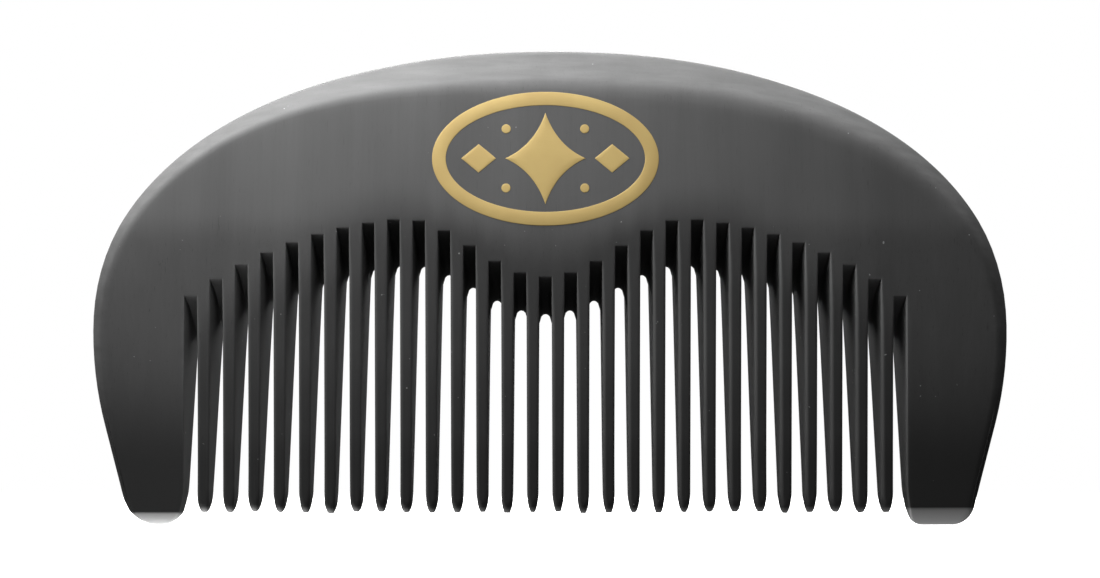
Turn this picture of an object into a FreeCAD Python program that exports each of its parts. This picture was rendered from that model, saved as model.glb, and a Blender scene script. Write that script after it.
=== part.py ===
import FreeCAD, Part
import math
import os

# Half-moon beard comb, sawn and ground from one wooden blank, with a gold ornament let into its
# front face.  The comb stands on the ends of its two guards: X runs along the tooth row, Y through
# the thickness (the ornament faces -Y) and Z up from the guard ends to the crown.
# Millimetres and degrees.

# Outline of the blank, seen from the front
comb_width = 100.0
comb_height = 52.75
widest_height = 21.2            # height of the widest place above the guard ends
left_crown_power = 2.13         # exponents of the superellipse over the crown: the right
right_crown_power = 2.19        # shoulder is a little fuller
crown_spans = 24                # spans of the spline along the crown
side_radius = 40.0              # arc that draws each side in below the widest place
side_lean = 15.0                # lean of the straight run down to the guard end
guard_outer_corner = 2.2        # corner radius where a guard's end meets the outer side
guard_inner_corner = 1.2        # corner radius where a guard's end meets the first slot

# Thickness, seen from the side
body_thickness = 10.0
tip_thickness = 2.4
tip_height = 1.5                # the teeth end this far above the guard ends
taper = 0.25                    # thickness gained per mm of height above the tips

# Bevel round the rim, on both faces
bevel_depth = 3.0               # how far the bevel reaches down from each face
crown_bevel = 4.85              # its width over the middle of the crown
side_bevel = 1.4                # its width down the sides
left_bevel_fade = 2.2           # how fast the crown width falls to the side width
right_bevel_fade = 1.2

# Tooth row
tooth_count = 28
tooth_pitch = 2.755
tooth_row_shift = -0.5          # the row sits a little left of the middle of the blank
tooth_tip_width = 1.21
tooth_flare = 0.007             # width gained per mm of height
tooth_tip_length = 2.0          # length of the rounded end

# Slot roots: an arch with a dip in the middle, cut from the front by a circular saw
root_arch_height = 33.1
root_arch_flat = 12.0           # half length of the level top of the arch
root_arch_radius = 46.0
root_dip_depth = 6.4
root_dip_reach = 16.0
saw_radius = 32.0
saw_axis_offset = 11.5          # distance of the saw's axis in front of the comb's middle plane

# Ornament: separate inlaid shapes
ornament_x = -0.5
ornament_z = 39.7
band_length = 24.8              # oval band round the rest
band_height = 14.9
band_width = 1.5
star_length = 8.8               # four-pointed star in the middle
star_height = 10.2
star_waist = 0.39               # how far its sides are drawn in; 0.5 would leave them straight
lozenge_length = 3.8            # one on each side of the star
lozenge_height = 3.2
lozenge_place = 7.3
dot_diameter = 1.0              # one in each quarter
dot_place = (4.3, 3.3)
ornament_depth = 0.2

far = 20.0                      # tools reach this far past the blank

half_width = comb_width / 2
half_body = body_thickness / 2
crown_rise = comb_height - widest_height
crease_height = tip_height + (body_thickness - tip_thickness) / taper


def point(x, z, y=0.0):
    return FreeCAD.Vector(x, y, z)


def line(start, end):
    return Part.LineSegment(start, end).toShape()


def arc(start, middle, end):
    return Part.Arc(start, middle, end).toShape()


def half_thickness(height):
    """Half the comb's thickness at a height above the guard ends."""
    return min(half_body, (tip_thickness + taper * (height - tip_height)) / 2)


# Blank

def crown_point(angle, crown_inset, side_inset, y):
    """Point on the crown, moved inwards square to it.  The angle runs from 0 to 180 degrees."""
    cosine = math.cos(math.radians(angle))
    sine = max(0.0, math.sin(math.radians(angle)))
    power = left_crown_power if cosine < 0 else right_crown_power
    share = (abs(cosine) / half_width) ** power + (sine / crown_rise) ** power
    reach = share ** (-1 / power)
    x = reach * cosine
    rise = reach * sine
    slope_x = math.copysign((abs(x) / half_width) ** (power - 1) / half_width, x)
    slope_z = (rise / crown_rise) ** (power - 1) / crown_rise
    length = math.hypot(slope_x, slope_z)
    fade = left_bevel_fade if cosine < 0 else right_bevel_fade
    inset = side_inset + (crown_inset - side_inset) * sine ** fade
    return point(x - inset * slope_x / length, widest_height + rise - inset * slope_z / length, y)


def side_points(inset, y):
    """Right side, top down: start, middle and end of the side arc, then the corner arc's."""
    lean = math.radians(side_lean)
    centre_x = half_width - side_radius
    radius = side_radius - inset

    def on_side(angle):
        return point(centre_x + radius * math.cos(angle), widest_height - radius * math.sin(angle), y)

    foot = on_side(lean)
    floor_x = foot.x - foot.z * math.tan(lean)
    tangent = guard_outer_corner / math.tan((math.pi / 2 + lean) / 2)
    corner_top = point(floor_x + tangent * math.sin(lean), tangent * math.cos(lean), y)
    corner_end = point(floor_x - tangent, 0.0, y)
    turn = (math.pi / 2 - lean) / 2
    corner_middle = point(
        corner_end.x + guard_outer_corner * math.sin(turn),
        guard_outer_corner * (1 - math.cos(turn)),
        y,
    )
    return [on_side(0), on_side(lean / 2), foot, corner_top, corner_middle, corner_end]


def rim_wire(crown_inset, side_inset, y):
    """Closed outline of the blank at depth y, inset by the bevel."""
    angles = [180 * i / crown_spans for i in range(crown_spans + 1)]
    crown = Part.BSplineCurve()
    crown.interpolate([crown_point(a, crown_inset, side_inset, y) for a in angles])
    right = side_points(side_inset, y)
    left = [point(-p.x, p.z, y) for p in right]
    return Part.Wire([
        crown.toShape(),
        arc(left[0], left[1], left[2]),
        line(left[2], left[3]),
        arc(left[3], left[4], left[5]),
        line(left[5], right[5]),
        arc(right[5], right[4], right[3]),
        line(right[3], right[2]),
        arc(right[2], right[1], right[0]),
    ])


def thickness_solid(base):
    """Side profile run along X: parallel body, tapered teeth and a round nose that ends at base."""
    slope = taper / 2
    lean = math.atan(slope)
    nose = half_thickness(base) / (math.hypot(1, slope) - slope)
    nose_y = nose * math.cos(lean)
    nose_z = base + nose * (1 - math.sin(lean))
    top = comb_height + far
    start_x = -half_width - far
    corners = [(nose_y, nose_z), (half_body, crease_height), (half_body, top)]
    corners += [(-y, z) for y, z in reversed(corners)]
    points = [point(start_x, z, y) for y, z in corners]
    edges = [line(a, b) for a, b in zip(points, points[1:])]
    edges.append(arc(points[-1], point(start_x, base), points[0]))
    return Part.Face(Part.Wire(edges)).extrude(FreeCAD.Vector(2 * (half_width + far), 0, 0))


def make_blank():
    """Comb blank with its bevelled rim and tapered sides, before the slots are sawn."""
    rim = half_body - bevel_depth
    blank = Part.Face(rim_wire(0, 0, -rim)).extrude(FreeCAD.Vector(0, 2 * rim, 0))
    for side in (-1, 1):
        face = rim_wire(crown_bevel, side_bevel, side * half_body)
        blank = blank.fuse(Part.makeLoft([rim_wire(0, 0, side * rim), face], True, True))
    return blank.common(thickness_solid(0.0))


# Tooth row

def tooth_centre(number):
    return tooth_row_shift + (number - (tooth_count + 1) / 2) * tooth_pitch


def tooth_wall(number, side, height):
    """X of a tooth's left (-1) or right (+1) wall.  Teeth 0 and count + 1 are the guards' walls."""
    half = (tooth_tip_width + tooth_flare * (height - tip_height)) / 2
    return tooth_centre(number) + side * half


def root_height(slot):
    """Height of a slot's root at the front face.  Slot n lies to the left of tooth n."""
    x = abs(tooth_centre(slot) - tooth_pitch / 2 - tooth_row_shift)
    run = max(0.0, x - root_arch_flat)
    height = root_arch_height - root_arch_radius + math.sqrt(root_arch_radius ** 2 - run ** 2)
    if x < root_dip_reach:
        height -= root_dip_depth * (1 + math.cos(math.pi * x / root_dip_reach)) / 2
    return height


def tooth_top(number):
    """A tooth starts at the higher of the two roots beside it."""
    return max(root_height(number), root_height(number + 1))


def below_saw(height):
    """Everything under the arc that the saw leaves in a root at this height."""
    front_reach = saw_axis_offset - half_thickness(height)
    axis_z = height - math.sqrt(saw_radius ** 2 - front_reach ** 2)
    start_x = -half_width - far
    edge = half_body + 1.0

    def on_arc(y):
        return point(start_x, axis_z + math.sqrt(saw_radius ** 2 - (y + saw_axis_offset) ** 2), y)

    front, middle, back = on_arc(-edge), on_arc(0), on_arc(edge)
    back_foot = point(start_x, -far, edge)
    front_foot = point(start_x, -far, -edge)
    outline = Part.Wire([
        arc(front, middle, back),
        line(back, back_foot),
        line(back_foot, front_foot),
        line(front_foot, front),
    ])
    return Part.Face(outline).extrude(FreeCAD.Vector(2 * (half_width + far), 0, 0))


def column(left, right):
    """Full-height slab between two walls, each given as a function of height."""
    low, high = -far, comb_height + far
    depth = half_body + 1
    corners = [(left(low), low), (right(low), low), (right(high), high), (left(high), high)]
    points = [point(x, z, -depth) for x, z in corners]
    outline = Part.makePolygon(points + points[:1])
    return Part.Face(outline).extrude(FreeCAD.Vector(0, 2 * depth, 0))


def slot_column(slot):
    return column(lambda z: tooth_wall(slot - 1, 1, z), lambda z: tooth_wall(slot, -1, z))


def tooth_column(number):
    return column(lambda z: tooth_wall(number, -1, z), lambda z: tooth_wall(number, 1, z))


def guard_wall(side):
    """Wall of the last slot on one side, as a function of height."""
    if side < 0:
        return lambda z: tooth_wall(0, 1, z)
    return lambda z: tooth_wall(tooth_count + 1, -1, z)


def guard_column(side):
    """Slab outside the last slot on one side."""
    walls = [guard_wall(side), lambda z: side * (half_width + far)]
    return column(*(walls if side > 0 else walls[::-1]))


def guard_slot(side):
    return 1 if side < 0 else tooth_count + 1


def make_tooth(number):
    """One tooth: slightly flared towards its root, rounded at its tip."""
    centre = tooth_centre(number)
    shoulder = tip_height + tooth_tip_length
    top = comb_height
    left = point(tooth_wall(number, -1, shoulder), shoulder)
    right = point(tooth_wall(number, 1, shoulder), shoulder)
    top_left = point(tooth_wall(number, -1, top), top)
    top_right = point(tooth_wall(number, 1, top), top)
    oval = Part.Ellipse(point(centre, tip_height), right, point(centre, shoulder))
    outline = Part.Wire([
        Part.ArcOfEllipse(oval, -math.pi / 2, math.pi / 2).toShape(),
        line(right, top_right),
        line(top_right, top_left),
        line(top_left, left),
    ])
    prism = Part.Face(outline).extrude(FreeCAD.Vector(0, 2 * half_body, 0))
    prism.translate(FreeCAD.Vector(0, -half_body, 0))
    return prism.common(thickness_solid(tip_height)).common(below_saw(tooth_top(number)))


def guard_window(side):
    """Slab like guard_column, but ending at the guard's foot with a rounded inner corner."""
    wall = guard_wall(side)
    radius = guard_inner_corner
    edge = side * (half_width + far)
    top = comb_height + far
    depth = -half_body - 1
    foot_x = wall(radius)
    turn = radius * (1 - math.sqrt(0.5))
    outline = Part.Wire([
        line(point(edge, 0, depth), point(foot_x + side * radius, 0, depth)),
        arc(
            point(foot_x + side * radius, 0, depth),
            point(foot_x + side * turn, turn, depth),
            point(foot_x, radius, depth),
        ),
        line(point(foot_x, radius, depth), point(wall(top), top, depth)),
        line(point(wall(top), top, depth), point(edge, top, depth)),
        line(point(edge, top, depth), point(edge, 0, depth)),
    ])
    return Part.Face(outline).extrude(FreeCAD.Vector(0, -2 * depth, 0))


def make_guard(blank, side):
    """End guard: the blank outside the last slot, below that slot's root."""
    return blank.common(guard_window(side)).common(below_saw(root_height(guard_slot(side))))


def make_spine(blank, ornament):
    """Solid back of the comb: the blank above every root, with the recess for the ornament."""
    cutters = [guard_column(s).common(below_saw(root_height(guard_slot(s)))) for s in (-1, 1)]
    for slot in range(1, tooth_count + 2):
        cutters.append(slot_column(slot).common(below_saw(root_height(slot))))
    for number in range(1, tooth_count + 1):
        cutters.append(tooth_column(number).common(below_saw(tooth_top(number))))
    return blank.cut(cutters).cut(ornament)


# Ornament

def inlay(edges):
    """Solid of the inlay's depth behind an outline drawn round the ornament's centre."""
    solid = Part.Face(Part.Wire(edges)).extrude(FreeCAD.Vector(0, ornament_depth, 0))
    solid.translate(FreeCAD.Vector(ornament_x, -half_body, ornament_z))
    return solid


def oval(length, height):
    return inlay([Part.Ellipse(point(length / 2, 0), point(0, height / 2), point(0, 0)).toShape()])


def dot(x, z):
    circle = Part.Circle(point(x, z), FreeCAD.Vector(0, -1, 0), dot_diameter / 2)
    return inlay([circle.toShape()])


def corners_of(centre_x, length, height):
    """Right, top, left and bottom corners of a lozenge, ending on the first again."""
    right, top = point(centre_x + length / 2, 0), point(centre_x, height / 2)
    left, bottom = point(centre_x - length / 2, 0), point(centre_x, -height / 2)
    return [right, top, left, bottom, right]


def star():
    tips = corners_of(0, star_length, star_height)
    return inlay([arc(a, (a + b) * star_waist, b) for a, b in zip(tips, tips[1:])])


def lozenge(centre_x):
    corners = corners_of(centre_x, lozenge_length, lozenge_height)
    return inlay([line(a, b) for a, b in zip(corners, corners[1:])])


def make_ornament():
    """Oval band, star, lozenges and dots, flush with the front face and clear of each other."""
    hole = oval(band_length - 2 * band_width, band_height - 2 * band_width)
    shapes = [oval(band_length, band_height).cut(hole), star()]
    shapes += [lozenge(side * lozenge_place) for side in (-1, 1)]
    dot_x, dot_z = dot_place
    shapes += [dot(side * dot_x, level * dot_z) for side in (-1, 1) for level in (-1, 1)]
    return Part.makeCompound(shapes)


def export(name, shape):
    solids = shape.Solids
    body = solids[0] if len(solids) == 1 else Part.makeCompound(solids)
    body.exportStep(os.path.join("parts", name + ".step"))
    print(name, "solids", len(solids), "valid", body.isValid(), "volume", round(body.Volume, 3))


os.makedirs("parts", exist_ok=True)
blank = make_blank()
ornament = make_ornament()
export("spine", make_spine(blank, ornament))
export("guard_left", make_guard(blank, -1))
export("guard_right", make_guard(blank, 1))
for number in range(1, tooth_count + 1):
    export("tooth_%02d" % number, make_tooth(number))
export("ornament", ornament)
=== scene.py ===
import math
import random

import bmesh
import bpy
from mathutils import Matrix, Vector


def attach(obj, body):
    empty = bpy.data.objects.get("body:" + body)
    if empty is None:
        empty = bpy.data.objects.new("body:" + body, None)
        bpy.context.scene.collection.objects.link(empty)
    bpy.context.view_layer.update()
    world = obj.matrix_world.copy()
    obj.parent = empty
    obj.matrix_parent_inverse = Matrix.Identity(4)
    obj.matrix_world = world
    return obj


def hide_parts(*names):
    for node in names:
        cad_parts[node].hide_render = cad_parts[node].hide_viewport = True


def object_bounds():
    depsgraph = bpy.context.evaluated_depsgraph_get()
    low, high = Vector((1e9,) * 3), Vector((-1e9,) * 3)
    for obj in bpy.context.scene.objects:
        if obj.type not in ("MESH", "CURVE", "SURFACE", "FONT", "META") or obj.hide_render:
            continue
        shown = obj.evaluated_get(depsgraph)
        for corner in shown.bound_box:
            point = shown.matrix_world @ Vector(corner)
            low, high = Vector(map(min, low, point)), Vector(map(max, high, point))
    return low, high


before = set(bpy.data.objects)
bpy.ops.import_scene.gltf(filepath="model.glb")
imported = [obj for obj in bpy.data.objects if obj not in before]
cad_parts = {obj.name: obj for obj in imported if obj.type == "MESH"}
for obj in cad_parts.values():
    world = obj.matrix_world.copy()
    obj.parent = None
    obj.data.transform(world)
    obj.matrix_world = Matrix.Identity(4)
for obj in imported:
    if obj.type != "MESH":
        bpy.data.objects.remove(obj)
cad_low, cad_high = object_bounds()

# Visual model of the beard comb: one wooden body with 28 teeth, and the gold ornament.
# The lengths below are in millimetres; they become metres when a mesh or a light is made.
# X runs along the tooth row, Y through the thickness (front face at -Y), Z up from the guard ends.
# Where a value differs between the two ends of the comb, -1 is the left one and 1 the right one.

MM = 0.001
rng = random.Random(7)

# Sizes that the CAD model gives
half_width = (cad_high.x - cad_low.x) / 2 / MM
half_body = (cad_high.y - cad_low.y) / 2 / MM
comb_height = cad_high.z / MM

# Outline of the body
widest_height = 21.2
crown_power = {-1: 2.13, 1: 2.19}   # of the superellipse over each half of the crown
side_radius = 40.0
side_lean = math.radians(15.0)
outer_corner = {-1: 3.9, 1: 2.4}    # rounding of the guard ends, on the outside
inner_corner = {-1: 1.6, 1: 0.9}    # and next to the teeth
inner_draw = {-1: 0.9, 1: 0.75}     # how far the guards' inner walls draw back towards their ends
inner_draw_height = 4.5

# Thickness
tip_height = 1.5
tip_thickness = 2.4
taper = 0.25                    # thickness gained per millimetre of height
crease_softness = 1.6           # half height of the soft bend between taper and body
tooth_nose = 1.2                # height of the rounded tooth ends, seen from the side
guard_nose = {-1: 1.4, 1: 1.9}  # height of the ground guard ends

# Bevel round the rim
bevel_depth = 3.0
bevel_slope = 0.8               # depth over width, where the bevel is narrow
bevel_depth_share = 0.6         # of the local half thickness, where that is thin
crown_bevel = 4.85              # width at the top of the crown
side_bevel = 1.4                # and down the sides
bevel_fade = {-1: 2.2, 1: 1.2}  # how fast the width falls from one to the other
crisp_crease = 0.5              # softness of the bevel's inner edge at the left end
rubbed_crease = 1.5             # and at the right end
crease_change = (-48.0, 22.0)   # X between which it changes
crease_share = 0.45             # of the bevel's width, at most
rim_softness = 0.7              # softness of the bevel's outer edge, at most
thin_rim_softness = 0.15        # where the rim is thin, with rim_share of its half thickness added
rim_share = 0.45

# Tooth row
tooth_count = 28
tooth_pitch = 2.755
tooth_row_shift = -0.5
tooth_tip_width = 1.21
tooth_flare = 0.007             # width gained per millimetre of height
tooth_tip_length = 2.0
edge_radius = 0.12              # softened edges of the slots
tooth_edge_radius = 0.34        # edges of the teeth, once clear of the roots
tooth_edge_reach = 6.0          # how far below the roots that is
tooth_end_rounding = 0.75       # what the edges gain at the tip, in half widths of the tooth
edge_limit = 0.92               # largest edge radius, in half widths or half thicknesses
guard_edge_limit = 0.6          # the same on the guards' inner walls

# Differences that hand finishing leaves between the teeth
tip_shortfall = (0.1, 0.3)
tip_length_share = (0.65, 1.1)
tip_bluntness = (0.15, 0.5)
tip_lean = (-0.06, 0.06)
tip_lean_height = 8.0

# Slot roots
root_arch_height = 33.1
root_arch_flat = 12.0
root_arch_radius = 46.0
root_dip_depth = 6.4
root_dip_reach = 16.0
saw_radius = 32.0
saw_axis_offset = 11.5
root_rounding = 1.1             # the slots end square at the front and in an arch at the back
root_rounding_change = (-2.0, 3.0)  # Y between which the arch grows

# Ornament
ornament_x = -0.5
ornament_z = 39.7
band_length = 24.8
band_height = 14.9
band_width = 1.5
star_length = 8.8
star_height = 10.2
star_waist = 0.39
lozenge_length = 3.8
lozenge_height = 3.2
lozenge_place = 7.3
dot_diameter = 1.0
dot_place = (4.3, 3.3)
foil_lift = 0.03                # the gold stands this much proud of the wood
foil_depth = 0.1                # and reaches this far into it
foil_edge = 0.05

# Colours, as linear red, green, blue, alpha
wood_dark = (0.048, 0.048, 0.048, 1)
wood_light = (0.072, 0.072, 0.072, 1)
# Rubbed wood; on the bevel this lighter colour is partly a painted highlight
wood_rubbed_and_highlight = (0.13, 0.13, 0.13, 1)
# Pore colour, and also the black that the painted shade darkens towards
wood_pore_and_shade = (0.014, 0.014, 0.014, 1)
# Painted light from below, on the guard ends and tooth tips
painted_light_grey = (0.80, 0.80, 0.80, 1)
# Sawn walls: lighter bare wood, and partly painted light in the shaded slots
wood_sawn_and_slot_light = (0.16, 0.16, 0.16, 1)
wood_dust = (0.6, 0.6, 0.6, 1)
gold_dark = (0.355, 0.25, 0.083, 1)
gold_light = (0.395, 0.287, 0.098, 1)
floor_grey = (0.86, 0.86, 0.86, 1)
white = (1, 1, 1, 1)

# Stain and wear of the wood, with painted shade, painted light and a painted highlight; shares run from 0
# to 1
painted_tip_shade = 0.95                # painted shade: how far the colour darkens towards the tips
painted_tip_shade_heights = (6.0, 21.0)  # full below the first, none above the second
painted_root_shade = 0.6                # painted shade: how far the colour darkens round the middle roots and down the teeth
painted_root_shade_width = (16.0, 30.0)  # distances from the middle: full within, none beyond
painted_root_shade_heights = (-0.5, 4.5)  # heights above the roots: full at the first, none at the second
tooth_painted_shade_reach = 8.0         # distance below the roots at which the teeth have it in full
low_tooth_painted_shade = 0.3           # more painted shade, added to that low on the teeth
low_tooth_heights = (12.0, 20.0)  # full below the first, none above the second
slot_edge_wear = 0.6
rim_wear = 0.3
# On the bevel the wear is partly a painted highlight, lightening the band that light from above falls on
bevel_wear_and_highlight = 1.0
bevel_wear_and_highlight_share = 0.9          # of the bevel's width that has it
tip_wear = 0.5
tip_wear_height = 2.5
tip_painted_light = 0.35                 # painted light from below on the ends of the teeth
tip_painted_light_height = 0.7
guard_painted_light = (1.0, 0.3)         # painted light from below on the guards: at the very end, and where the ground end starts
guard_painted_light_fade = 0.2           # height over which it sets in there

# Mesh density
side_steps = 200                # along each stretch of the sides
outline_steps = 4000            # along the crown
tangent_steps = 3               # either way, to find the direction of the outline
root_solve_steps = 12
bend_steps = 4                  # across each softened edge of the bevel
face_rows = 20                  # from the slot roots to the bevel
slot_columns = 6
tooth_columns = 6
tooth_rows = 20
tip_rows = 8
tip_row_reach = 84.0            # degrees of the rounded tooth end that the rows go round
guard_rows = 22
guard_row_margin = 0.15         # from the last of them to the ground end
nose_start_rows = (0.08, 0.02, -0.04, -0.12)  # above the start of a guard's ground end
nose_rows = (0.9, 0.8, 0.68, 0.56, 0.44, 0.32, 0.2, 0.1, 0.03)  # down it: roots of height shares
edge_steps = 4                  # across a softened edge
wall_steps = 12                 # through the thickness
inlay_rings = (0.66, 0.33, 0.0)  # shares of the way from an inlay's middle to its rim
row_end_lean = 45.0             # degrees by which the rays lean at the ends of the tooth row
level_height = 3.0              # below this the rays down a guard start out level
level_change = 1.4              # and this much lower they are level round the rim as well


def lerp(a, b, t):
    return a + (b - a) * t


def smooth_step(t):
    t = min(1.0, max(0.0, t))
    return t * t * (3 - 2 * t)


def rising(value, between):
    """Smooth change from 0 at the first of two values to 1 at the second."""
    low, high = between
    return smooth_step((value - low) / (high - low))


def falling(value, between):
    """Smooth change from 1 at the first of two values to 0 at the second."""
    low, high = between
    return smooth_step((high - value) / (high - low))


def curve_point(a, b, c, t):
    """Point at t on the curve from a to c that is drawn towards b."""
    return tuple((1 - t) ** 2 * a[k] + 2 * t * (1 - t) * b[k] + t * t * c[k] for k in (0, 1))


# ---------------------------------------------------------------- shape of the comb

def half_thickness(z):
    """Half the thickness of the faces at height z: taper, then a soft bend into the flat body."""
    slope = taper / 2
    bend = tip_height + (2 * half_body - tip_thickness) / taper
    sloped = tip_thickness / 2 + slope * (z - tip_height)
    over = z - bend
    if over > crease_softness:
        return half_body
    if over < -crease_softness:
        return sloped
    reach = over + crease_softness
    return sloped - slope * reach * reach / (4 * crease_softness)


def nose(height, length):
    """Share of the full thickness at a height above a rounded end."""
    if height >= length:
        return 1.0
    return math.sqrt(max(0.0, 1 - (1 - height / length) ** 2))


def crown_point(angle):
    power = crown_power[-1 if math.cos(angle) < 0 else 1]
    share = (abs(math.cos(angle)) / half_width) ** power
    share += (math.sin(angle) / (comb_height - widest_height)) ** power
    reach = share ** (-1 / power)
    return reach * math.cos(angle), widest_height + reach * math.sin(angle)


def side_points(corner):
    """Right side from the widest place down to the end of the guard's outer corner."""
    centre_x = half_width - side_radius
    foot_x = centre_x + side_radius * math.cos(side_lean)
    foot_z = widest_height - side_radius * math.sin(side_lean)
    tangent = corner / math.tan((math.pi / 2 + side_lean) / 2)
    floor_x = foot_x - foot_z * math.tan(side_lean)
    top_x = floor_x + tangent * math.sin(side_lean)
    top_z = tangent * math.cos(side_lean)
    points = []
    for i in range(side_steps):
        angle = side_lean * i / side_steps
        z = widest_height - side_radius * math.sin(angle)
        points.append((centre_x + side_radius * math.cos(angle), z))
    for i in range(side_steps):
        t = i / side_steps
        points.append((lerp(foot_x, top_x, t), lerp(foot_z, top_z, t)))
    for i in range(side_steps + 1):
        angle = lerp(side_lean, math.pi / 2, i / side_steps)
        x = floor_x - tangent + corner * math.cos(angle)
        points.append((x, corner * (1 - math.sin(angle))))
    return points


def outline_points():
    """Outline of the body from the left guard's end over the crown to the right guard's end."""
    right = side_points(outer_corner[1])
    left = [(-x, z) for x, z in reversed(side_points(outer_corner[-1]))]
    crown = [crown_point(math.pi * (1 - i / outline_steps)) for i in range(1, outline_steps)]
    return left + crown + right


OUTLINE = outline_points()


def inward_at(i):
    """Unit vector that points into the body, square to the outline at its point i."""
    before = OUTLINE[max(0, i - tangent_steps)]
    after = OUTLINE[min(len(OUTLINE) - 1, i + 1 + tangent_steps)]
    along_x, along_z = after[0] - before[0], after[1] - before[1]
    length = math.hypot(along_x, along_z)
    return along_z / length, -along_x / length


def outline_hit(x, z, tilt):
    """Where a ray from (x, z), tilted from straight up (positive to the right), leaves the body.

    Returns the point on the outline and the unit vector that points inwards there."""
    dx, dz = math.sin(tilt), math.cos(tilt)
    sides = [dx * (pz - z) - dz * (px - x) for px, pz in OUTLINE]
    best = None
    for i in range(len(OUTLINE) - 1):
        if sides[i] * sides[i + 1] <= 0 and sides[i] != sides[i + 1]:
            t = sides[i] / (sides[i] - sides[i + 1])
            px, pz = (lerp(OUTLINE[i][k], OUTLINE[i + 1][k], t) for k in (0, 1))
            along = (px - x) * dx + (pz - z) * dz
            if along > 0 and (best is None or along < best[0]):
                best = (along, (px, pz), inward_at(i))
    return best[1], best[2]


def bevel_width(x, z):
    """Width of the bevel at a point of the outline, for the full body thickness."""
    if z <= widest_height:
        return side_bevel
    sine = (z - widest_height) / math.hypot(x, z - widest_height)
    return side_bevel + (crown_bevel - side_bevel) * sine ** bevel_fade[-1 if x < 0 else 1]


def crease_blur(x):
    """Softness of the bevel's inner edge: crisp on the left, rubbed down on the right."""
    return lerp(crisp_crease, rubbed_crease, rising(x, crease_change))


def tooth_centre(number):
    return tooth_row_shift + (number - (tooth_count + 1) / 2) * tooth_pitch


def tooth_half_width(z):
    return (tooth_tip_width + tooth_flare * (z - tip_height)) / 2


def slot_wall(slot, side, z):
    """X of a slot's left (-1) or right (+1) wall.  Slot n lies to the left of tooth n."""
    number = slot - 1 if side < 0 else slot
    return tooth_centre(number) - side * tooth_half_width(z)


def root_height(slot):
    x = abs(tooth_centre(slot) - tooth_pitch / 2 - tooth_row_shift)
    run = max(0.0, x - root_arch_flat)
    height = root_arch_height - root_arch_radius + math.sqrt(root_arch_radius ** 2 - run ** 2)
    if x < root_dip_reach:
        height -= root_dip_depth * (1 + math.cos(math.pi * x / root_dip_reach)) / 2
    return height


def root_painted_shade(x, above_root):
    """Painted shade round the roots in the middle of the comb."""
    return falling(abs(x), painted_root_shade_width) * falling(above_root, painted_root_shade_heights)


# Stations run through the thickness from the front face to the back face.  Each has three values:
# how far it lies inside the softened edge (1 on the face, 0 on the wall), its place through the
# thickness (-1 at the front, 1 at the back), and how far it has dropped from the face (in edge
# radii, or None on the wall between the two edges).

def wall_stations():
    angles = [math.pi / 2 * i / edge_steps for i in range(edge_steps + 1)]
    edge = [(1 - math.sin(a), 1 - math.cos(a)) for a in angles]
    front = [(inside, -1.0, drop) for inside, drop in edge]
    middle = [(0.0, -1 + 2 * i / wall_steps, None) for i in range(1, wall_steps)]
    back = [(inside, 1.0, drop) for inside, drop in reversed(edge)]
    return front + middle + back


STATIONS = wall_stations()


def station_y(station, half, radius):
    """Y of a station on a wall between faces at -half and +half."""
    _, place, drop = station
    if drop is None:
        return place * (half - radius)
    return place * (half - radius * drop)


class Root:
    """Root of one slot: heights through the thickness, as the saw's arc leaves them."""

    def __init__(self, slot):
        self.front = root_height(slot)
        half = half_thickness(self.front)
        self.axis = self.front - math.sqrt(saw_radius ** 2 - (saw_axis_offset - half) ** 2)

    def height(self, y):
        return self.axis + math.sqrt(saw_radius ** 2 - (y + saw_axis_offset) ** 2)

    def station(self, station, place):
        """(y, z) of a station on the root; place runs from -1 to 1 across the slot."""
        z = self.front
        for _ in range(root_solve_steps):
            y = station_y(station, half_thickness(z), edge_radius)
            z = self.height(y)
        arch = root_rounding * rising(y, root_rounding_change)
        drop = arch * (1 - math.sqrt(max(0.0, 1 - place * place)))
        return y, z + edge_radius * station[0] - drop


roots = {slot: Root(slot) for slot in range(1, tooth_count + 2)}
guard_slot = {-1: 1, 1: tooth_count + 1}


# ---------------------------------------------------------------- comb mesh

class Mesh:
    """Vertices, faces and sharp edges of a piece while it is built.

    Each vertex has marks: wear of the edges (on the bevel partly a painted highlight), sawn wood in the
    slots, painted light from below on the ends, and painted shade round the roots and down the teeth."""

    def __init__(self):
        self.points = []
        self.marks = {"wear": [], "sawn": [], "painted_light": [], "painted_shade": []}
        self.faces = []
        self.sharp = []

    def point(self, x, y, z, wear=0.0, sawn=0.0, painted_light=0.0, painted_shade=0.0):
        self.points.append((x, y, z))
        for name, amount in (("wear", wear), ("sawn", sawn), ("painted_light", painted_light), ("painted_shade", painted_shade)):
            self.marks[name].append(amount)
        return len(self.points) - 1

    def strip(self, a, b):
        """Quads between two lines of vertices of the same length."""
        for i in range(len(a) - 1):
            corners = [a[i], a[i + 1], b[i + 1], b[i]]
            kept = [v for k, v in enumerate(corners) if v != corners[k - 1]]
            if len(set(kept)) > 2:
                self.faces.append(kept)

    def ladder(self, line):
        """Closes a line that folds back on itself at its middle."""
        middle = len(line) // 2
        self.strip(line[:middle + 1], line[::-1][:middle + 1])


class Ray:
    """One line of vertices round the body, and across the root or wall that it starts from."""

    def __init__(self, outer, inner=None):
        if inner:
            outer[0], outer[-1] = inner[0], inner[-1]
        self.outer = outer
        self.inner = inner


mesh = Mesh()


def link(a, b):
    """Faces between two rays."""
    mesh.strip(a.outer, b.outer)
    if a.inner and b.inner:
        mesh.strip(a.inner, b.inner)


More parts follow.
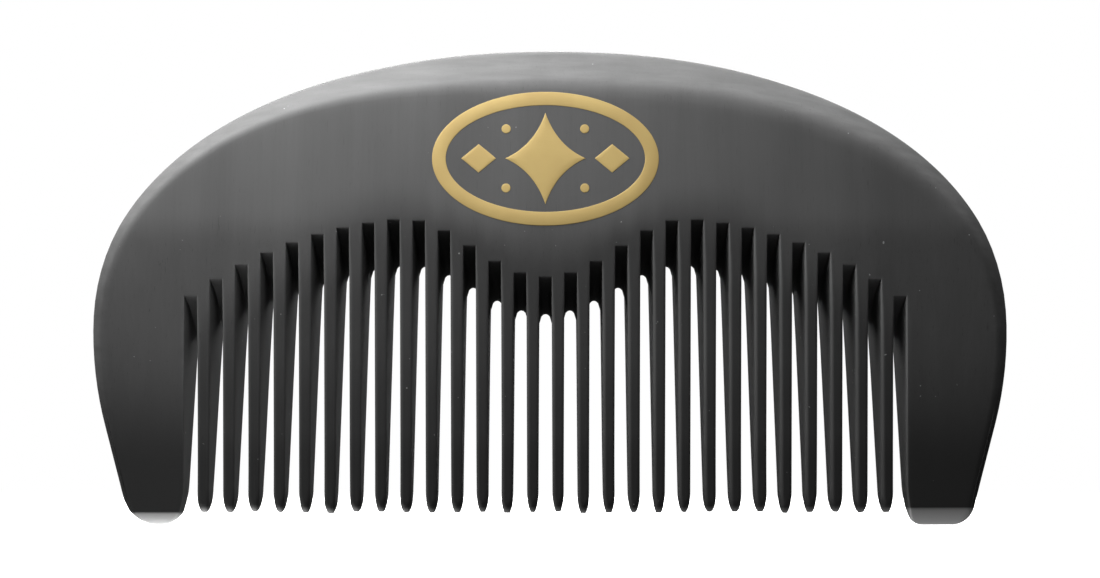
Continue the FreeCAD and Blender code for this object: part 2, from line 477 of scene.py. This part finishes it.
def bevel_profile(width, depth, half, soft):
    """Half of the rim's cross-section: (distance inside the outline, half thickness there)."""
    rim = half - depth
    run = math.hypot(width, depth)
    outer_soft = min(rim_softness, rim_share * rim + thin_rim_softness)
    ux, uy = width / run, depth / run
    inner_edge = ((width + soft, half), (width, half), (width - soft * ux, half - soft * uy))
    outer_edge = ((outer_soft * ux, rim + outer_soft * uy), (0.0, rim), (0.0, max(0.0, rim - outer_soft)))
    points = []
    for start, corner, end in (inner_edge, outer_edge):
        points += [curve_point(start, corner, end, i / bend_steps) for i in range(bend_steps + 1)]
    points.append((0.0, 0.0))
    return points


def face_line(start, target, half_at, side, painted_light):
    """Vertices up one face from the slot roots to the start of the bevel."""
    line = []
    for row in range(face_rows):
        t = row / face_rows
        x, z = lerp(start[0], target[0], t), lerp(start[1], target[1], t)
        # Painted shade round the middle roots
        painted_shade = root_painted_shade(x, z - start[1])
        line.append(mesh.point(x, side * half_at(z), z, painted_light=painted_light, painted_shade=painted_shade))
    return line


def outer_line(front, back, tilt, fullness=1.0, painted_light=0.0, level=0.0):
    """Vertices from the front root up the face, round the rim and down the back face.

    Fullness is the share of the full thickness, as at the ground ends of the guards.  A level of
    1 keeps the whole line at one height, as it has to be there."""
    (x, z), inward = outline_hit(front[0], front[1], tilt)
    inward = (lerp(inward[0], math.copysign(1.0, -x), level), lerp(inward[1], 0.0, level))

    def half_at(height):
        return half_thickness(height) * fullness

    half = half_at(z)
    width = bevel_width(x, z)
    depth = min(bevel_depth, bevel_slope * width)
    thin = min(1.0, bevel_depth_share * half / bevel_depth)
    width, depth = width * math.sqrt(thin), depth * thin
    soft = min(crease_blur(x), crease_share * width)
    profile = bevel_profile(width, depth, half, soft)
    reach = profile[0][0]
    target = (x + inward[0] * reach, z + inward[1] * reach)
    line = face_line(front, target, half_at, -1, painted_light)
    rim = []
    for side, part in ((-1, profile), (1, profile[-2::-1])):
        for inside, thick in part:
            px, pz = x + inward[0] * inside, z + inward[1] * inside
            y = side * half_at(pz) * thick / half
            # Wear over the bevel band, partly a painted highlight there
            wear = bevel_wear_and_highlight if 0 < inside < bevel_wear_and_highlight_share * width else rim_wear
            rim.append(mesh.point(px, y, pz, wear, painted_light=painted_light))
    return line + rim + face_line(back, target, half_at, 1, painted_light)[::-1]


def ray_tilt(x):
    """Rays stand upright over the middle of the comb and lean out towards its ends."""
    left, right = slot_wall(1, -1, widest_height), slot_wall(tooth_count + 1, 1, widest_height)
    place = (x - (left + right) / 2) / ((right - left) / 2)
    return math.radians(row_end_lean) * place * abs(place)


def root_ray(slot, place):
    """Ray that starts on a slot's root; place runs from -1 at its left wall to 1 at its right."""
    corner = place if abs(place) == 1 else 0
    inner = []
    ends = []
    for station in STATIONS:
        y, z = roots[slot].station(station, place)
        x = lerp(slot_wall(slot, -1, z), slot_wall(slot, 1, z), (place + 1) / 2)
        x += corner * edge_radius * station[0]
        wear, sawn = slot_edge_wear * station[0], 1 - station[0]
        # Painted shade round the middle roots
        inner.append(mesh.point(x, y, z, wear, sawn, painted_shade=root_painted_shade(x, 0)))
        ends.append((x, z))
    return Ray(outer_line(ends[0], ends[-1], ray_tilt(ends[0][0])), inner)


def tooth_ray(number, place):
    """Ray that starts at the top of a tooth; place runs from 0 to 1 between the roots beside it."""
    ends = []
    for station in (STATIONS[0], STATIONS[-1]):
        _, left_z = roots[number].station(station, 1)
        _, right_z = roots[number + 1].station(station, -1)
        left_x = slot_wall(number, 1, left_z) + edge_radius
        right_x = slot_wall(number + 1, -1, right_z) - edge_radius
        ends.append((lerp(left_x, right_x, place), lerp(left_z, right_z, place)))
    return Ray(outer_line(ends[0], ends[1], ray_tilt(ends[0][0])))


def guard_heights(side):
    """Heights of a guard's rays at its inner wall, from the root down to the rounded end."""
    top = roots[guard_slot[side]].front
    start = guard_nose[side]
    heights = [lerp(top, start + guard_row_margin, i / guard_rows) for i in range(1, guard_rows + 1)]
    heights += [start + step for step in nose_start_rows]
    heights += [start * share ** 2 for share in nose_rows]
    return heights


def guard_pull(side, height):
    """How far a guard's inner wall is drawn back at a height, by its corner and its lean."""
    corner = inner_corner[side]
    pull = 0.0
    if height < corner:
        pull = corner - math.sqrt(corner ** 2 - (corner - height) ** 2)
    return pull + inner_draw[side] * max(0.0, 1 - height / inner_draw_height) ** 2


def guard_ray(side, height):
    """Ray that starts on a guard's inner wall, `height` above the end at the front face."""
    slot = guard_slot[side]
    root = roots[slot]
    risen = min(1.0, height / guard_nose[side])
    fullness = math.sqrt(risen)
    # Painted light from below on the guard's end
    painted_light = smooth_step((1 - risen) * guard_nose[side] / guard_painted_light_fade) * lerp(*guard_painted_light, risen)
    climb = (height - level_height) / (root.front - level_height)
    tilt = side * math.radians(90 - row_end_lean * max(0.0, climb) ** 2)
    pull = guard_pull(side, height)
    inner = []
    ends = []
    for station in STATIONS:
        _, root_z = root.station(station, side)
        z = height + (root_z - root.front) * smooth_step(climb)
        half = half_thickness(z) * fullness
        radius = min(edge_radius, guard_edge_limit * half_thickness(z) * fullness)
        x = slot_wall(slot, side, z) + side * (pull + radius * station[0])
        y = station_y(station, half, radius)
        wear, sawn = slot_edge_wear * station[0], 1 - station[0]
        inner.append(mesh.point(x, y, z, wear, sawn, painted_light))
        ends.append((x, z))
    level = smooth_step((level_height - height) / level_change)
    return Ray(outer_line(ends[0], ends[-1], tilt, fullness, painted_light, level), inner)


class Tooth:
    """Shape of one tooth, with the small differences that hand finishing leaves."""

    def __init__(self, number):
        self.centre = tooth_centre(number)
        self.tip = tip_height - rng.uniform(*tip_shortfall)
        self.length = tooth_tip_length * rng.uniform(*tip_length_share)
        self.blunt = rng.uniform(*tip_bluntness)
        self.lean = rng.uniform(*tip_lean)

    def half_width(self, z):
        above = min(1.0, (z - self.tip) / self.length)
        narrow = math.sqrt(max(0.0, 1 - (1 - above) ** 2))
        return tooth_half_width(z) * lerp(narrow, 1.0, self.blunt * (1 - narrow) * (above > 0))

    def edge(self, z, top):
        """Edge radius: small at the root, larger down the tooth, nearly round at the tip."""
        free = lerp(edge_radius, tooth_edge_radius, smooth_step((top - z) / tooth_edge_reach))
        end = smooth_step(1 - (z - self.tip) / self.length)
        return free + tooth_end_rounding * end * self.half_width(z)

    def middle(self, z):
        below = max(0.0, 1 - (z - self.tip) / tip_lean_height)
        return self.centre + self.lean * below ** 2

    def rows(self, tops):
        """Heights of the rows below the given tops: down to the shoulder, then round the tip."""
        shoulder = self.tip + self.length
        shares = [i / tooth_rows for i in range(1, tooth_rows + 1)]
        angles = [math.radians(tip_row_reach * i / tip_rows) for i in range(1, tip_rows + 1)]
        rows = [[lerp(top, shoulder, share) for top in tops] for share in shares]
        return rows + [[self.tip + self.length * (1 - math.sin(a))] * len(tops) for a in angles]


def tooth_places():
    """Places round a tooth: left wall from back to front, front face, right wall, back face."""
    wall, face = range(len(STATIONS)), range(1, tooth_columns)
    places = [("wall", -1, step) for step in reversed(wall)]
    places += [("face", -1, step) for step in face]
    places += [("wall", 1, step) for step in wall]
    return places + [("face", 1, step) for step in reversed(face)]


def tooth_vertex(tooth, place, z, top):
    """Vertex at one of the places round a tooth, at height z below a root at height top."""
    kind, side, step = place
    across = tooth.half_width(z)
    through = half_thickness(z) * nose(z - tooth.tip, tooth_nose)
    radius = min(tooth.edge(z, top), edge_limit * across, edge_limit * through)
    if kind == "wall":
        station = STATIONS[step]
        x = side * (across - radius * station[0])
        y = station_y(station, through, radius)
        wear, sawn = slot_edge_wear * station[0], 1 - station[0]
    else:
        x = (across - radius) * (2 * step / tooth_columns - 1)
        y = side * through
        wear = sawn = 0.0
    tip = smooth_step(1 - (z - tooth.tip) / tip_wear_height)
    wear = max(wear, tip_wear * tip)
    # Painted light from below on the tooth's tip
    painted_light = tip_painted_light * smooth_step(1 - (z - tooth.tip) / tip_painted_light_height)
    # Painted shade round the middle roots, down the tooth below its root, and more low on the tooth
    painted_shade = max(root_painted_shade(tooth.centre, 0), smooth_step((top - z) / tooth_painted_shade_reach))
    painted_shade += low_tooth_painted_shade * falling(z, low_tooth_heights)
    return mesh.point(tooth.middle(z) + x, y, z, wear, sawn * (1 - tip), painted_light, painted_shade)


def close_tooth(loop):
    """Faces across the last loop of a tooth, front to back and along both walls."""
    wall_end = len(STATIONS)
    left_wall, front = loop[:wall_end][::-1], loop[wall_end - 1:wall_end + tooth_columns]
    right_start = wall_end + tooth_columns - 1
    right_wall = loop[right_start:right_start + len(STATIONS)]
    back = ([right_wall[-1]] + loop[right_start + len(STATIONS):])[::-1]
    mesh.strip(front, back)
    mesh.ladder(left_wall)
    mesh.ladder(right_wall)


def make_tooth(number, rays):
    """Hangs a tooth below its rays and closes its tip."""
    tooth = Tooth(number)
    places = tooth_places()
    left, right = rays[0], rays[-1]
    loop = left.inner[::-1] + [ray.outer[0] for ray in rays[1:-1]]
    loop += right.inner + [ray.outer[-1] for ray in rays[1:-1]][::-1]
    tops = [mesh.points[v][2] for v in loop]
    loop.append(loop[0])
    for heights in tooth.rows(tops):
        line = [tooth_vertex(tooth, *values) for values in zip(places, heights, tops)]
        line.append(line[0])
        mesh.strip(loop, line)
        loop = line
    close_tooth(loop)


def make_guard(side, corner_ray):
    """Rays down a guard from its root corner, closed at the rounded end."""
    previous = corner_ray
    for height in guard_heights(side):
        ray = guard_ray(side, height)
        link(previous, ray)
        previous = ray
    mesh.ladder(previous.inner)
    mesh.ladder(previous.outer)


def make_comb():
    """Slots and teeth from left to right, then the two guards."""
    slot_places = [2 * c / slot_columns - 1 for c in range(slot_columns + 1)]
    first = previous = None
    for slot in range(1, tooth_count + 2):
        slot_rays = [root_ray(slot, place) for place in slot_places]
        mesh.sharp += [slot_rays[0].inner, slot_rays[-1].inner]
        if previous:
            number = slot - 1
            places = [c / tooth_columns for c in range(1, tooth_columns)]
            rays = [previous] + [tooth_ray(number, place) for place in places] + [slot_rays[0]]
            for a, b in zip(rays, rays[1:]):
                link(a, b)
            make_tooth(number, rays)
        for a, b in zip(slot_rays, slot_rays[1:]):
            link(a, b)
        first = first or slot_rays[0]
        previous = slot_rays[-1]
    make_guard(-1, first)
    make_guard(1, previous)


def finish_mesh(name, source):
    """Blender object from the collected points, with smooth shading and marked sharp edges."""
    data = bpy.data.meshes.new(name)
    bm = bmesh.new()
    for point in source.points:
        bm.verts.new([c * MM for c in point])
    bm.verts.ensure_lookup_table()
    for mark, amounts in source.marks.items():
        layer = bm.verts.layers.float.new(mark)
        for vertex, amount in zip(bm.verts, amounts):
            vertex[layer] = amount
    for face in source.faces:
        bm.faces.new([bm.verts[v] for v in face]).smooth = True
    for line in source.sharp:
        for a, b in zip(line, line[1:]):
            bm.edges.get((bm.verts[a], bm.verts[b])).smooth = False
    bmesh.ops.delete(bm, geom=[v for v in bm.verts if not v.link_faces], context="VERTS")
    bmesh.ops.recalc_face_normals(bm, faces=bm.faces)
    bm.to_mesh(data)
    bm.free()
    piece = bpy.data.objects.new(name, data)
    bpy.context.scene.collection.objects.link(piece)
    return piece


make_comb()
comb = finish_mesh("comb_body", mesh)
weighted = comb.modifiers.new("weighted_normals", "WEIGHTED_NORMAL")
weighted.keep_sharp = True
wooden = [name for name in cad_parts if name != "ornament"]
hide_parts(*wooden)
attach(comb, "root")


# ---------------------------------------------------------------- ornament

# Shapes are loops of (x, z) about the ornament's middle, and run anticlockwise.

def ellipse(width, height, x=0.0, z=0.0, steps=160):
    turns = [2 * math.pi * i / steps for i in range(steps)]
    return [(x + width / 2 * math.cos(a), z + height / 2 * math.sin(a)) for a in turns]


def four_sides(width, height, waist=0.5, x=0.0, steps=24):
    """Four points joined by curves: straight for a waist of 0.5, bent inwards for a smaller one."""
    tips = [(width / 2, 0.0), (0.0, height / 2), (-width / 2, 0.0), (0.0, -height / 2)]
    points = []
    for start, end in zip(tips, tips[1:] + tips[:1]):
        control = [(2 * waist - 0.5) * (start[k] + end[k]) for k in (0, 1)]
        points += [curve_point(start, control, end, i / steps) for i in range(steps)]
    return [(x + px, pz) for px, pz in points]


def inset(loop, amount):
    """The loop moved inwards."""
    moved = []
    for i, (x, z) in enumerate(loop):
        before, after = loop[i - 1], loop[(i + 1) % len(loop)]
        dx, dz = after[0] - before[0], after[1] - before[1]
        length = math.hypot(dx, dz)
        moved.append((x - dz / length * amount, z + dx / length * amount))
    return moved


def inlay_loops(gold, loop, sign=1.0):
    """Vertex loops of an inlay's edge, from inside the wood to the softened front edge."""
    edge = ((0.0, -foil_depth), (0.0, 0.4 * foil_lift), (0.3, 0.8 * foil_lift), (1.0, foil_lift))
    loops = []
    for share, proud in edge:
        points = inset(loop, sign * foil_edge * share)
        ids = [gold.point(ornament_x + x, -half_body - proud, ornament_z + z) for x, z in points]
        loops.append(ids + ids[:1])
    return loops


def add_face(gold, rim, centre_x, centre_z):
    """Rings of faces from a rim in to a centre."""
    outer = rim
    for share in inlay_rings:
        inner = []
        for v in rim[:-1]:
            x, y, z = gold.points[v]
            inner.append(gold.point(lerp(centre_x, x, share), y, lerp(centre_z, z, share)))
        inner = [inner[0]] * len(rim) if share == 0 else inner + inner[:1]
        gold.strip(outer, inner)
        outer = inner


def add_inlay(gold, loop):
    """One closed inlay: flat back, side wall, softened edge, flat front."""
    loops = inlay_loops(gold, loop)
    for a, b in zip(loops, loops[1:]):
        gold.strip(a, b)
    centre_x = ornament_x + sum(x for x, _ in loop) / len(loop)
    centre_z = ornament_z + sum(z for _, z in loop) / len(loop)
    add_face(gold, loops[0], centre_x, centre_z)
    add_face(gold, loops[-1], centre_x, centre_z)


def add_band(gold, outer, inner):
    """Closed ring between two loops."""
    a, b = inlay_loops(gold, outer), inlay_loops(gold, inner, -1.0)
    for loops in (a, b):
        for one, two in zip(loops, loops[1:]):
            gold.strip(one, two)
    gold.strip(a[0], b[0])
    gold.strip(a[-1], b[-1])


def make_ornament():
    """Oval band round a star, with a lozenge and two dots on either side of it."""
    gold = Mesh()
    hole = ellipse(band_length - 2 * band_width, band_height - 2 * band_width)
    add_band(gold, ellipse(band_length, band_height), hole)
    add_inlay(gold, four_sides(star_length, star_height, star_waist))
    for side in (-1, 1):
        add_inlay(gold, four_sides(lozenge_length, lozenge_height, x=side * lozenge_place))
        for level in (-1, 1):
            x, z = side * dot_place[0], level * dot_place[1]
            add_inlay(gold, ellipse(dot_diameter, dot_diameter, x, z, 32))
    return gold


inlay = finish_mesh("ornament_inlay", make_ornament())
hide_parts("ornament")
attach(inlay, "root")


# ---------------------------------------------------------------- materials

class Nodes:
    """Short way to build a node material."""

    def __init__(self, name):
        self.material = bpy.data.materials.new(name)
        self.material.use_nodes = True
        self.tree = self.material.node_tree
        self.shader = self.tree.nodes["Principled BSDF"]

    def feed(self, value, socket):
        if isinstance(value, bpy.types.NodeSocket):
            self.tree.links.new(value, socket)
        else:
            socket.default_value = value

    def math(self, operation, a, b=0.0, c=0.0):
        node = self.tree.nodes.new("ShaderNodeMath")
        node.operation = operation
        for value, socket in zip((a, b, c), node.inputs):
            self.feed(value, socket)
        return node.outputs[0]

    def mix(self, share, a, b):
        node = self.tree.nodes.new("ShaderNodeMix")
        node.data_type = "RGBA"
        self.feed(share, node.inputs["Factor"])
        self.feed(a, node.inputs["A"])
        self.feed(b, node.inputs["B"])
        return node.outputs["Result"]

    def ramp(self, value, low, high, kind="LINEAR"):
        """0 at the low value, 1 at the high one."""
        node = self.tree.nodes.new("ShaderNodeMapRange")
        node.interpolation_type = kind
        self.feed(value, node.inputs["Value"])
        node.inputs["From Min"].default_value = low
        node.inputs["From Max"].default_value = high
        return node.outputs["Result"]

    def mark(self, name):
        """One of the marks that the mesh carries."""
        node = self.tree.nodes.new("ShaderNodeAttribute")
        node.attribute_name = name
        return node.outputs["Fac"]

    def height(self):
        """Height above the guard ends, in metres."""
        coordinates = self.tree.nodes.new("ShaderNodeTexCoord")
        split = self.tree.nodes.new("ShaderNodeSeparateXYZ")
        self.tree.links.new(coordinates.outputs["Object"], split.inputs["Vector"])
        return split.outputs["Z"]

    def bump(self, height, strength, depth):
        node = self.tree.nodes.new("ShaderNodeBump")
        node.inputs["Strength"].default_value = strength
        node.inputs["Distance"].default_value = depth * MM
        self.feed(height, node.inputs["Height"])
        self.feed(node.outputs["Normal"], self.shader.inputs["Normal"])

    def noise(self, per_mm, detail=3.0, rough=0.5):
        """Noise with its own number of features per millimetre along X, Y and Z."""
        coordinates = self.tree.nodes.new("ShaderNodeTexCoord")
        mapping = self.tree.nodes.new("ShaderNodeMapping")
        mapping.inputs["Scale"].default_value = [f / MM for f in per_mm]
        texture = self.tree.nodes.new("ShaderNodeTexNoise")
        texture.inputs["Scale"].default_value = 1.0
        texture.inputs["Detail"].default_value = detail
        texture.inputs["Roughness"].default_value = rough
        self.tree.links.new(coordinates.outputs["Object"], mapping.inputs["Vector"])
        self.tree.links.new(mapping.outputs["Vector"], texture.inputs["Vector"])
        return texture.outputs["Fac"]


def stained_wood():
    """Black-stained, satin-oiled wood with upright grain and rubbed edges; painted shade darkens it
    towards the tips and round the roots, painted light from below lightens the ends.
    """
    m = Nodes("stained_wood")
    wear, sawn, painted_light, painted_shade = (m.mark(name) for name in ("wear", "sawn", "painted_light", "painted_shade"))
    grain = m.noise((2.6, 2.6, 0.08), 4.0, 0.55)
    bands = m.noise((0.30, 0.30, 0.016), 2.0)
    cloud = m.noise((0.07, 0.07, 0.06), 3.0)
    streaks = m.ramp(m.noise((0.12, 0.7, 0.7), 4.0, 0.6), 0.35, 0.75)
    pores = m.ramp(m.noise((8.0, 8.0, 0.45), 2.0, 0.6), 0.64, 0.72)
    dust = m.ramp(m.noise((2.0, 2.0, 2.0), 1.0, 0.4), 0.80, 0.83)

    # Stain over the grain, then what use and the saw have done to it; the rubbed colour is partly a
    # painted highlight on the bevel, and the lighter sawn colour partly painted light in the shaded slots
    tone = m.math("MULTIPLY_ADD", grain, 0.22, m.math("MULTIPLY", bands, 0.38))
    tone = m.math("MULTIPLY_ADD", cloud, 0.5, tone)
    colour = m.mix(m.ramp(tone, 0.36, 0.76), wood_dark, wood_light)
    rubbed = m.math("MULTIPLY", wear, streaks)
    # Rubbed colour: real wear, and on the bevel partly a painted highlight
    colour = m.mix(m.math("MULTIPLY", rubbed, 0.35), colour, wood_rubbed_and_highlight)
    colour = m.mix(m.math("MULTIPLY", pores, 0.35), colour, wood_pore_and_shade)
    # Lighter sawn walls: rougher bare wood, and partly painted light in the shaded slots
    colour = m.mix(m.math("MULTIPLY", sawn, 0.6), colour, wood_sawn_and_slot_light)

    # Painted shade towards the tips, round the middle roots and down the teeth, less of it on sawn walls
    low, high = painted_tip_shade_heights
    height = m.ramp(m.height(), low * MM, high * MM, "SMOOTHSTEP")
    shade = m.math("MULTIPLY_ADD", height, -painted_tip_shade, painted_tip_shade)
    shade = m.math("MAXIMUM", shade, m.math("MULTIPLY", painted_shade, painted_root_shade))
    shade = m.math("MULTIPLY", shade, m.math("MULTIPLY_ADD", sawn, -0.3, 1.0))
    colour = m.mix(shade, colour, wood_pore_and_shade)
    # Painted light from below on the guard ends and tooth tips
    colour = m.mix(painted_light, colour, painted_light_grey)
    colour = m.mix(m.math("MULTIPLY", dust, 0.35), colour, wood_dust)
    m.feed(colour, m.shader.inputs["Base Color"])

    rough = m.math("MULTIPLY_ADD", grain, 0.08, 0.50)
    rough = m.math("MULTIPLY_ADD", cloud, 0.08, rough)
    rough = m.math("MULTIPLY_ADD", sawn, 0.2, rough)
    rough = m.math("MULTIPLY_ADD", wear, 0.1, rough)
    m.feed(rough, m.shader.inputs["Roughness"])
    m.shader.inputs["Specular IOR Level"].default_value = 0.32
    relief = m.math("SUBTRACT", m.math("MULTIPLY", grain, 0.6), m.math("MULTIPLY", pores, 0.5))
    m.bump(relief, strength=0.2, depth=0.02)
    return m.material


def gold_foil():
    """Satin gold inlay with a faint brushed grain."""
    m = Nodes("gold_inlay")
    brushed = m.noise((0.6, 0.6, 6.0), 3.0)
    cloud = m.noise((0.25, 0.25, 0.25), 2.0)
    colour = m.mix(m.ramp(cloud, 0.3, 0.7), gold_dark, gold_light)
    m.feed(colour, m.shader.inputs["Base Color"])
    m.shader.inputs["Metallic"].default_value = 0.25
    m.feed(m.math("MULTIPLY_ADD", brushed, 0.15, 0.45), m.shader.inputs["Roughness"])
    m.bump(brushed, strength=0.15, depth=0.02)
    return m.material


comb.data.materials.append(stained_wood())
inlay.data.materials.append(gold_foil())


# ---------------------------------------------------------------- floor, light and camera

floor_size = 6.0                # metres
studio_reach = 600.0            # from the soft lamps to the middle of the comb
studio_height = 30.0            # of the point that they aim at
studio_size = 350.0
light_below = 0.12              # light that the surroundings throw on the comb
light_above = 0.03
horizon_blend = 0.15            # sine of the elevation over which one changes into the other
camera_tilt = math.radians(7.5)
camera_distance = 166.0
look_height = 25.4
lens_length = 50.0
sensor_width = 36.0
nearest_seen = 0.005            # metres


def make_floor():
    """Pale floor that only the camera sees: the comb's light comes from the lamps and the world."""
    bpy.ops.mesh.primitive_plane_add(size=floor_size)
    floor = bpy.context.object
    floor.name = "floor"
    m = Nodes("floor")
    m.shader.inputs["Base Color"].default_value = floor_grey
    m.shader.inputs["Roughness"].default_value = 0.9
    m.shader.inputs["Specular IOR Level"].default_value = 0.1
    m.shader.inputs["Emission Color"].default_value = white
    m.shader.inputs["Emission Strength"].default_value = 1.0
    floor.data.materials.append(m.material)
    floor.visible_diffuse = False
    floor.visible_glossy = False
    floor.visible_shadow = False


def aim(thing, target):
    thing.rotation_euler = (Vector(target) - thing.location).to_track_quat("-Z", "Y").to_euler()


def square_light(name, place, target, size, power):
    """Square lamp from one place towards another; its power is in watts."""
    lamp = bpy.data.lights.new(name, "AREA")
    lamp.shape = "SQUARE"
    lamp.size = size * MM
    lamp.energy = power
    holder = bpy.data.objects.new(name, lamp)
    holder.location = Vector(place) * MM
    holder.visible_camera = False
    bpy.context.scene.collection.objects.link(holder)
    aim(holder, Vector(target) * MM)


def studio_light(name, azimuth, elevation, power):
    """Large soft light; azimuth 0 is in front of the comb and 90 on its right."""
    a, e = math.radians(azimuth), math.radians(elevation)
    reach = studio_reach * math.cos(e)
    rise = studio_height + studio_reach * math.sin(e)
    place = (reach * math.sin(a), -reach * math.cos(a), rise)
    square_light(name, place, (0, 0, studio_height), studio_size, power)


def make_lights():
    """Soft lamps all round, and small ones near the parts that they bring out."""
    studio_light("soft_left", -90, 60, 7.7)
    studio_light("soft_right", 90, 80, 4.75)
    studio_light("soft_back", 180, 35, 4.2)
    square_light("key_left", (-75, -60, 95), (-37, 0, 35), 40.0, 0.106)
    square_light("crown", (10, -60, 75), (5, 0, 35), 40.0, 0.0055)
    square_light("crown_left", (-15, -60, 80), (-7, 0, 35), 40.0, 0.033)
    square_light("top", (-20, 0, 110), (-10, 0, 35), 60.0, 0.027)
    square_light("below_left", (-46, 4, -30), (-46, 0, 0), 30.0, 0.0178)
    square_light("below_right", (46, 4, -30), (46, 0, 0), 30.0, 0.0024)


def make_world():
    """White surroundings for the camera; dim ones, brighter below than above, light the comb."""
    world = bpy.data.worlds.new("studio")
    bpy.context.scene.world = world
    world.use_nodes = True
    tree = world.node_tree
    coordinates = tree.nodes.new("ShaderNodeTexCoord")
    split = tree.nodes.new("ShaderNodeSeparateXYZ")
    tree.links.new(coordinates.outputs["Generated"], split.inputs["Vector"])
    level = tree.nodes.new("ShaderNodeMapRange")
    level.inputs["From Min"].default_value = -horizon_blend
    level.inputs["From Max"].default_value = horizon_blend
    level.inputs["To Min"].default_value = light_below
    level.inputs["To Max"].default_value = light_above
    tree.links.new(split.outputs["Z"], level.inputs["Value"])
    seen = tree.nodes.new("ShaderNodeLightPath").outputs["Is Camera Ray"]
    strength = tree.nodes.new("ShaderNodeMix")
    strength.inputs["B"].default_value = 1.0
    tree.links.new(seen, strength.inputs["Factor"])
    tree.links.new(level.outputs["Result"], strength.inputs["A"])
    background = tree.nodes["Background"]
    background.inputs["Color"].default_value = white
    tree.links.new(strength.outputs["Result"], background.inputs["Strength"])


def make_camera():
    """A little below the middle of the comb, tilted up at it."""
    target = Vector((0, -half_thickness(look_height), look_height)) * MM
    ahead = Vector((0, math.cos(camera_tilt), math.sin(camera_tilt)))
    camera = bpy.data.cameras.new("camera")
    camera.sensor_width = sensor_width
    camera.lens = lens_length
    camera.clip_start = nearest_seen
    holder = bpy.data.objects.new("camera", camera)
    holder.location = target - ahead * camera_distance * MM
    bpy.context.scene.collection.objects.link(holder)
    aim(holder, target)
    bpy.context.scene.camera = holder


make_floor()
make_world()
make_camera()
make_lights()
bpy.context.scene.view_settings.view_transform = "Standard"
